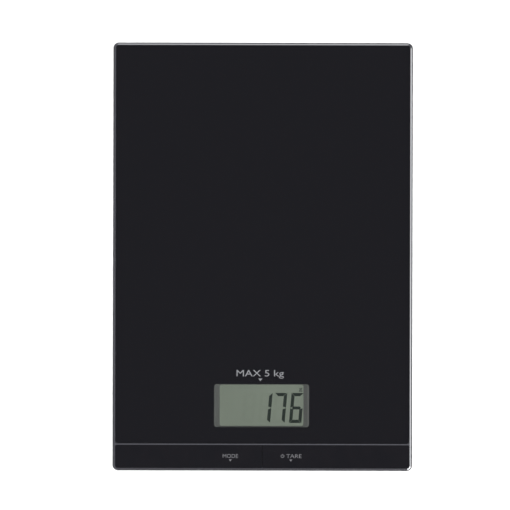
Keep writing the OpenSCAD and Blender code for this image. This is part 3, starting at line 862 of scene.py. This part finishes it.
# %% Moulded grain
grain, g_in, g_out = group("moulded_grain", {"Size": 2500.0, "Depth": 1.0}, ("Height", "Tone"))
fine = noise(grain, g_in.outputs["Size"], 3)
coarse_size = math_node(grain, "MULTIPLY", g_in.outputs["Size"], 0.22)
coarse = noise(grain, coarse_size, 2)
both = math_node(grain, "MULTIPLY_ADD", fine, 0.7)
grain.links.new(coarse, both.node.inputs[2])
grain.links.new(math_node(grain, "MULTIPLY", both, g_in.outputs["Depth"]), g_out.inputs["Height"])
grain.links.new(ramp(grain, coarse, 0.35, 0.65), g_out.inputs["Tone"])

# %% [markdown]
# ## Brushed lines
# Rolled and brushed metal shows fine parallel lines. Noise that is stretched hard along one axis gives
# them. They change the gloss more than they change the shape.

# %% Brushed lines
brush, b_in, b_out = group("brushed_lines", {"Size": 900.0}, ("Height", "Tone"))
lines = noise(brush, b_in.outputs["Size"], 4, (0.03, 1, 1))
brush.links.new(lines, b_out.inputs["Height"])
brush.links.new(ramp(brush, lines, 0.3, 0.7), b_out.inputs["Tone"])

# %% [markdown]
# ## Dust and handling marks
# Nothing stays clean. Small specks, and larger soft smears from fingers, lift the roughness a little and
# pale a dark colour. The amount is set low, because the scale is new.

# %% Dust and smears
dust, d_in, d_out = group("dust_and_smears", {"Amount": 0.2, "Size": 900.0}, ("Dust", "Smear"))
specks = ramp(dust, noise(dust, d_in.outputs["Size"], 4), 0.62, 0.78)
patches = ramp(dust, noise(dust, 35, 2), 0.4, 0.7)
speckled = math_node(dust, "MULTIPLY", specks, patches)
dust.links.new(math_node(dust, "MULTIPLY", speckled, d_in.outputs["Amount"]), d_out.inputs["Dust"])
smears = ramp(dust, noise(dust, 60, 3, (1, 0.45, 1)), 0.45, 0.75)
dust.links.new(math_node(dust, "MULTIPLY", smears, d_in.outputs["Amount"]), d_out.inputs["Smear"])

# %% [markdown]
# ## Worn edges
# Handling polishes or bares the edges first. A Bevel node gives the normal that a rounded edge would
# have. Where that differs from the real normal there is an edge, and noise breaks it up.

# %% Worn edges
wear, w_in, w_out = group("worn_edges", {"Width": 0.0003, "Amount": 0.5}, ("Mask",))
rounded = wear.nodes.new("ShaderNodeBevel")
rounded.samples = 4
wear.links.new(w_in.outputs["Width"], rounded.inputs["Radius"])
facing = wear.nodes.new("ShaderNodeVectorMath")
facing.operation = "DOT_PRODUCT"
wear.links.new(rounded.outputs["Normal"], facing.inputs[0])
wear.links.new(wear.nodes.new("ShaderNodeNewGeometry").outputs["Normal"], facing.inputs[1])
bent = math_node(wear, "SUBTRACT", 1.0, facing.outputs["Value"])
edge = ramp(wear, bent, 0.03, 0.3)
broken = math_node(wear, "MULTIPLY", edge, ramp(wear, noise(wear, 700, 4), 0.4, 0.62))
wear.links.new(math_node(wear, "MULTIPLY", broken, w_in.outputs["Amount"]), w_out.inputs["Mask"])

# %% [markdown]
# ## Putting a finish together
# Most pieces are plastic, rubber or metal, and differ only in numbers. One function places the shared
# effects round a Principled shader: a base colour with a second tone, a gloss that varies, a bump, bare
# or polished edges and a little dust.

# %% The finish maker
def use(tree, effect, **values):
    node = tree.nodes.new("ShaderNodeGroup")
    node.node_tree = effect
    for socket, value in values.items():
        node.inputs[socket].default_value = value
    return node


def mix(tree, factor, a, b):
    """A colour mix. Each side is a colour or a socket."""
    node = tree.nodes.new("ShaderNodeMix")
    node.data_type = "RGBA"
    tree.links.new(factor, node.inputs[0])
    for index, side in ((6, a), (7, b)):
        if isinstance(side, (tuple, list)):
            node.inputs[index].default_value = (*side, 1)
        else:
            tree.links.new(side, node.inputs[index])
    return node.outputs[2]


def blank(name):
    material = bpy.data.materials.new(name)
    material.use_nodes = True
    return material, material.node_tree, material.node_tree.nodes["Principled BSDF"]


def bump(tree, shader, height, distance, strength=1.0):
    node = tree.nodes.new("ShaderNodeBump")
    node.inputs["Distance"].default_value = distance
    node.inputs["Strength"].default_value = strength
    tree.links.new(height, node.inputs["Height"])
    tree.links.new(node.outputs["Normal"], shader.inputs["Normal"])


def finish(name, base, second, rough, metal=0.0, effect=grain, size=2500.0, depth=0.01, worn=None,
           edge_w=0.25, dusty=0.15, specular=0.5):
    """rough is (least, most). worn is the colour that shows on edges."""
    material, tree, shader = blank(name)
    surface = use(tree, effect, Size=size)
    marks = use(tree, dust, Amount=dusty)
    colour = mix(tree, surface.outputs["Tone"], base, second)
    if worn:
        edges = use(tree, wear, Width=edge_w * mm)
        colour = mix(tree, edges.outputs["Mask"], colour, worn)
    pale = tuple(0.75 * channel + 0.12 for channel in base)
    tree.links.new(mix(tree, marks.outputs["Dust"], colour, pale), shader.inputs["Base Color"])
    gloss = ramp(tree, surface.outputs["Tone"], 0, 1, *rough)
    duller = math_node(tree, "MULTIPLY_ADD", marks.outputs["Smear"], 0.3)
    tree.links.new(gloss, duller.node.inputs[2])
    tree.links.new(duller, shader.inputs["Roughness"])
    shader.inputs["Metallic"].default_value = metal
    shader.inputs["Specular IOR Level"].default_value = specular
    bump(tree, shader, surface.outputs["Height"], depth * mm)
    return material


# %% [markdown]
# ## Clear glass and its black ink
# Float glass is clear with a trace of green. Lamps have to reach the display through it, so for shadow
# rays the shader gives way to a transparent one. The ink is a flat black with no shine of its own, since
# the glass in front of it has all the shine.

# %% Glass
def let_through(material, when):
    """Where the socket says 1, the shader gives way to a transparent one."""
    tree = material.node_tree
    chooser = tree.nodes.new("ShaderNodeMixShader")
    tree.links.new(when, chooser.inputs[0])
    tree.links.new(tree.nodes["Principled BSDF"].outputs[0], chooser.inputs[1])
    tree.links.new(tree.nodes.new("ShaderNodeBsdfTransparent").outputs[0], chooser.inputs[2])
    tree.links.new(chooser.outputs[0], tree.nodes["Material Output"].inputs["Surface"])


clear_glass, tree, shader = blank("clear_glass")
shader.inputs["Base Color"].default_value = (0.97, 0.99, 0.98, 1)
shader.inputs["IOR"].default_value = 1.5
shader.inputs["Transmission Weight"].default_value = 1.0
marks = use(tree, dust, Amount=0.12, Size=1200.0)
tree.links.new(math_node(tree, "MULTIPLY", marks.outputs["Smear"], 0.08), shader.inputs["Roughness"])
let_through(clear_glass, tree.nodes.new("ShaderNodeLightPath").outputs["Is Shadow Ray"])

# %% Inks
black_ink = finish("black_ink", (0.0048, 0.0048, 0.0063), (0.0056, 0.0053, 0.0068), (0.5, 0.6),
                   specular=0.0, dusty=0.0)
grey_ink = finish("grey_ink", (0.22, 0.22, 0.235), (0.245, 0.245, 0.26), (0.45, 0.6), size=4000,
                  dusty=0.0)
key_ink = finish("key_ink", (0.135, 0.135, 0.142), (0.155, 0.155, 0.162), (0.45, 0.6), size=4000,
                 dusty=0.0)

# %% [markdown]
# ## Plastics and rubbers
# The frame is plastic with a satin silver coat. The keys are polished black, the base is grained black,
# and the feet and pads are duller still.

# %% Plastics and rubbers
silver_coat = finish("silver_coat", (0.60, 0.605, 0.62), (0.66, 0.665, 0.68), (0.13, 0.18), metal=1.0,
                     size=5200, depth=0.0001, dusty=0.02)
key_gloss = finish("key_gloss", (0.005, 0.005, 0.0066), (0.006, 0.0056, 0.0072), (0.03, 0.06),
                   size=600, depth=0.0006, dusty=0.04)
base_grain = finish("base_grain", (0.026, 0.026, 0.0275), (0.034, 0.034, 0.0355), (0.42, 0.62), size=3200,
                    depth=0.03, worn=(0.05, 0.05, 0.052), dusty=0.15)
door_grain = finish("door_grain", (0.03, 0.03, 0.0315), (0.038, 0.038, 0.0395), (0.4, 0.58), size=3200,
                    depth=0.025, worn=(0.055, 0.055, 0.058), dusty=0.25)
foot_plastic = finish("foot_plastic", (0.026, 0.026, 0.027), (0.033, 0.033, 0.034), (0.35, 0.5),
                      size=2600, depth=0.015, worn=(0.06, 0.06, 0.06), dusty=0.25)
pad_rubber = finish("pad_rubber", (0.035, 0.035, 0.036), (0.05, 0.05, 0.05), (0.7, 0.9), size=1800,
                    depth=0.03, worn=(0.11, 0.105, 0.1), dusty=0.6)
bezel_grey = finish("bezel_grey", (0.064, 0.067, 0.062), (0.071, 0.074, 0.069), (0.45, 0.6), size=3000,
                    depth=0.005)
# foam tape, whose finish the seam strip of painted shade also wears
foam_and_seam_shade = finish("foam_tape", (0.02, 0.02, 0.02), (0.035, 0.035, 0.035), (0.85, 0.95), size=1500, depth=0.05)
switch_plastic = finish("switch_plastic", (0.07, 0.07, 0.078), (0.09, 0.09, 0.098), (0.4, 0.5), size=3000)
plunger_plastic = finish("plunger_plastic", (0.016, 0.016, 0.017), (0.024, 0.024, 0.025), (0.3, 0.4),
                         size=3000)
sealant = finish("sealant", (0.72, 0.72, 0.7), (0.8, 0.8, 0.78), (0.25, 0.4), size=500, depth=0.08)
resin = finish("resin", (0.01, 0.01, 0.011), (0.016, 0.016, 0.017), (0.12, 0.25), size=350, depth=0.05)
seal_ring = finish("seal_ring", (0.02, 0.02, 0.02), (0.03, 0.03, 0.03), (0.5, 0.6))
red_wire = finish("red_wire", (0.42, 0.02, 0.015), (0.5, 0.035, 0.025), (0.35, 0.5), size=1500)
black_wire = finish("black_wire", (0.015, 0.015, 0.016), (0.024, 0.024, 0.025), (0.35, 0.5), size=1500)
bundle_wire = finish("bundle_wire", (0.34, 0.05, 0.04), (0.5, 0.12, 0.1), (0.35, 0.5), size=260)

# %% [markdown]
# ## Metals
# Stamped load cells and battery contacts keep the lines of the rolled strip. The can of the cell is
# nickel plated, and the screws are zinc plated, with brighter edges where a driver has been.

# %% Metals
cell_strip = finish("load_cell_steel", (0.52, 0.53, 0.54), (0.6, 0.61, 0.62), (0.28, 0.42), metal=1.0,
                    effect=brush, size=1400, depth=0.004, worn=(0.75, 0.75, 0.76))
nickel = finish("nickel_plate", (0.6, 0.59, 0.56), (0.64, 0.63, 0.6), (0.3, 0.36), metal=1.0,
                effect=brush, size=4200, depth=0.0004, worn=(0.75, 0.74, 0.72))
etched = finish("etched_mark", (0.16, 0.16, 0.155), (0.2, 0.2, 0.195), (0.55, 0.7), metal=1.0)
contact_nickel = finish("contact_nickel", (0.68, 0.63, 0.5), (0.76, 0.71, 0.58), (0.22, 0.35), metal=1.0,
                        effect=brush, size=1500, depth=0.003)
zinc = finish("zinc_plate", (0.5, 0.5, 0.51), (0.6, 0.6, 0.61), (0.25, 0.38), metal=1.0, size=1800,
              depth=0.004, worn=(0.8, 0.8, 0.8), edge_w=0.12)
can_metal = finish("crystal_can_metal", (0.7, 0.7, 0.71), (0.78, 0.78, 0.79), (0.18, 0.28), metal=1.0,
                   effect=brush, size=900, depth=0.002)

# %% [markdown]
# ## Electronics
# A few pieces have a pattern of their own. The board shows its copper tracks as slightly paler bands
# under the green lacquer, the elastomer strips are stacks of thin dark and pale layers, and the strain
# gauge is a fine metal zigzag on amber film.

# %% Patterned parts
def banded(name, dark, light, per_metre, rough, axis, share=0.5, wander=0.0):
    """Bands across one axis. share is how much of each pitch is dark, wander how much they wave."""
    material, tree, shader = blank(name)
    wave = tree.nodes.new("ShaderNodeTexWave")
    wave.bands_direction = axis
    wave.inputs["Scale"].default_value = per_metre / 20 * 2 * math.pi
    wave.inputs["Distortion"].default_value = wander
    tree.links.new(tree.nodes.new("ShaderNodeTexCoord").outputs["Object"], wave.inputs["Vector"])
    stripes = ramp(tree, wave.outputs["Fac"], share - 0.1, share + 0.1)
    tree.links.new(mix(tree, stripes, dark, light), shader.inputs["Base Color"])
    tree.links.new(ramp(tree, stripes, 0, 1, *rough), shader.inputs["Roughness"])
    bump(tree, shader, stripes, 0.01 * mm)
    return material


lacquer = banded("board_lacquer", (0.012, 0.09, 0.035), (0.03, 0.17, 0.07), 400, (0.25, 0.35), "X",
                 share=0.6, wander=6.0)
zebra = banded("zebra_layers", (0.03, 0.03, 0.03), (0.35, 0.35, 0.34), 5000, (0.6, 0.75), "X")
gauge = banded("gauge_film", (0.5, 0.24, 0.05), (0.62, 0.55, 0.45), 2500, (0.3, 0.4), "X", 0.55)
ceramic = banded("chip_ceramic", (0.32, 0.24, 0.16), (0.6, 0.6, 0.6), 500, (0.4, 0.3), "X", 0.75)

# %% [markdown]
# ## The display's face
# Unpowered liquid crystal over a silvery reflector looks a dull grey-green. It is a little uneven, and
# its film is softly glossy. Idle bars are only a shade darker than the ground, lit ones nearly black.

# %% Display materials
display_face = finish("display_face", (0.119, 0.137, 0.109), (0.127, 0.146, 0.117), (0.3, 0.38), size=60,
                      depth=0.0002, dusty=0.0, specular=0.3)
bar_lit = finish("bar_lit", (0.007, 0.012, 0.008), (0.01, 0.015, 0.011), (0.3, 0.4), size=900, dusty=0.0,
                 specular=0.2)
bar_idle = finish("bar_idle", (0.115, 0.132, 0.105), (0.121, 0.14, 0.111), (0.3, 0.4), size=60, dusty=0.0,
                  specular=0.3)
cell_edge = finish("cell_glass_edge", (0.12, 0.16, 0.13), (0.16, 0.2, 0.17), (0.08, 0.15), size=400,
                   dusty=0.0)
print("finishes:", len(bpy.data.materials))


# %% [markdown]
# # Dressing the scale
# New pieces get their finish, ride on the body they belong to, and stand for the plain part they
# replace. The parts that stay get a finish in their own slot.

# %% New pieces
def dress(piece, material, body, slot, *stands_for):
    piece.data.materials.clear()
    piece.data.materials.append(material)
    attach(piece, body)
    if stands_for:
        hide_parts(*stands_for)


def bend(piece, material, foot, slot, *stands_for):
    """Gives a piece its finish, settles its place into its mesh and hides the parts it stands for."""
    piece.data.materials.clear()
    piece.data.materials.append(material)
    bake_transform(piece)
    if stands_for:
        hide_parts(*stands_for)


BODY = "scale_body"
dress(glass, clear_glass, BODY, "black_glass", "glass_platform")
dress(film, black_ink, BODY, "black_glass")
dress(limit_print, grey_ink, BODY, "black_glass")
dress(cell, cell_edge, BODY, "display_glass", "lcd_panel")
dress(polariser, display_face, BODY, "display_glass")
dress(reading, bar_lit, BODY, "display_glass")
dress(ghosts, bar_idle, BODY, "display_glass")
dress(bezel, bezel_grey, BODY, "display_grey", "lcd_frame")
dress(key_caps["unit"], key_gloss, "unit_key", "key_black", "unit_key")
dress(key_caps["zero"], key_gloss, "zero_key", "key_black", "zero_key")
# the seam strip is painted shade and wears the foam finish
dress(seam, foam_and_seam_shade, BODY, "foam_tape")
dress(mode_print, key_ink, "unit_key", "key_black")
dress(tare_print, key_ink, "zero_key", "key_black")
dress(screws, zinc, BODY, "screw_steel", "cover_screws")
dress(door, door_grain, "battery_door", "base_black", "battery_door")
dress(arrow, grey_ink, "battery_door", "base_black")
dress(can, nickel, BODY, "cell_steel", "coin_cell")
dress(ring, seal_ring, BODY, "cell_steel")
dress(lid, nickel, BODY, "cell_steel")
dress(plus, etched, BODY, "cell_steel")
for name in FEET:
    dress(cups[name], foot_plastic, "foot_" + name, "foot_black", "foot_" + name)
    dress(pads[name], pad_rubber, "foot_" + name, "pad_rubber", "foot_pad_" + name)
for name in FEET:
    dress(plates[name], cell_strip, BODY, "cell_alloy", "load_cell_" + name)
    bend(tongues[name], cell_strip, name, "cell_alloy")
    bend(gauges[name], gauge, name, "gauge_foil", "strain_gauges")

# %% Parts that stay
KEPT = {
    "top_frame": silver_coat, "bottom_cover": base_grain, "glass_tape": foam_and_seam_shade, "main_board": lacquer,
    "zebra_strips": zebra, "controller_chip": resin, "board_components": ceramic, "crystal": can_metal,
    "unit_switch": switch_plastic, "zero_switch": switch_plastic, "unit_plunger": plunger_plastic,
    "zero_plunger": plunger_plastic, "positive_contact": contact_nickel,
    "negative_contact": contact_nickel,
    "gauge_sealant": sealant, "battery_lead_red": red_wire,
    "battery_lead_black": black_wire, "board_screws": zinc, "sensor_screws": zinc,
}
for name in FEET:
    KEPT["sensor_leads_" + name] = bundle_wire
for node, material in KEPT.items():
    mesh = nodes[node].data
    mesh.materials.clear()
    mesh.materials.append(material)
shown = [name for name, node in nodes.items() if not node.hide_render]
print("kept:", len(KEPT), "still plain:", sorted(set(shown) - set(KEPT)))

# %% [markdown]
# # Studio
# The floor is a plain pale plane, evenly lit by one broad source straight overhead. Lamps make harsh
# shapes in black glass, so that one is hidden from reflections, and two large dim panels, to the right
# and behind, are what the bright rim mirrors. A slim lamp at the front right puts the spark on the
# corner. The floor is see-through from below and casts no shadow, so the underside can be lit and
# looked at as well.

# %% Floor
floor = plane((12, 12))
floor.name = "floor"
paint = finish("floor_paint", (0.86, 0.86, 0.86), (0.9, 0.9, 0.9), (0.7, 0.8), size=40, depth=0.0,
               dusty=0.0)
tree = paint.node_tree
below = tree.nodes.new("ShaderNodeNewGeometry").outputs["Backfacing"]
shadow_ray = tree.nodes.new("ShaderNodeLightPath").outputs["Is Shadow Ray"]
let_through(paint, math_node(tree, "MAXIMUM", below, shadow_ray))
floor.data.materials.append(paint)


# %% Lamps
def panel(name, azimuth, elevation, distance, width, height, glow):
    """A flat soft lamp that looks at the scale. Azimuth 0 is the right-hand side, 90 the back."""
    a, e = math.radians(azimuth), math.radians(elevation)
    lamp = bpy.data.lights.new(name, "AREA")
    lamp.shape = "RECTANGLE"
    lamp.size = width
    lamp.size_y = height
    lamp.energy = glow * math.pi * width * height
    holder = bpy.data.objects.new(name, lamp)
    towards = Vector((math.cos(a) * math.cos(e), math.sin(a) * math.cos(e), math.sin(e)))
    holder.location = towards * distance
    holder.rotation_euler = (-holder.location).to_track_quat("-Z", "Y").to_euler()
    holder.visible_camera = False
    bpy.context.scene.collection.objects.link(holder)
    return holder


sun = bpy.data.lights.new("overhead_lamp", "SUN")
sun.energy = 3.85
sun.angle = math.radians(19)
overhead = bpy.data.objects.new("overhead_lamp", sun)
overhead.location = (0, 0, 1.8)
overhead.visible_glossy = False
overhead.visible_transmission = False
bpy.context.scene.collection.objects.link(overhead)
panel("right_panel", 0, 50, 1.6, 0.9, 0.9, 0.85)
panel("back_panel", 90, 50, 1.6, 0.9, 0.9, 0.5)
panel("corner_lamp", -48, 44, 1.6, 0.9, 0.2, 3.0)
panel("underside_lamp", 0, -88, 1.6, 1.2, 1.2, 4.8)

# %% Room
world = bpy.data.worlds.new("studio")
bpy.context.scene.world = world
world.use_nodes = True
tree = world.node_tree
glow = tree.nodes["Background"]
room = tree.nodes.new("ShaderNodeBackground")
room.inputs["Color"].default_value = (1, 1, 1, 1)
direction = tree.nodes.new("ShaderNodeSeparateXYZ")
tree.links.new(tree.nodes.new("ShaderNodeTexCoord").outputs["Generated"], direction.inputs[0])
height = ramp(tree, direction.outputs["Z"], 0.3, 1.0)
tree.links.new(mix(tree, height, (0.09, 0.09, 0.095), (0.17, 0.17, 0.19)), glow.inputs["Color"])
seen = tree.nodes.new("ShaderNodeMixShader")
tree.links.new(tree.nodes.new("ShaderNodeLightPath").outputs["Is Camera Ray"], seen.inputs[0])
tree.links.new(glow.outputs[0], seen.inputs[1])
tree.links.new(room.outputs[0], seen.inputs[2])
tree.links.new(seen.outputs[0], tree.nodes["World Output"].inputs["Surface"])
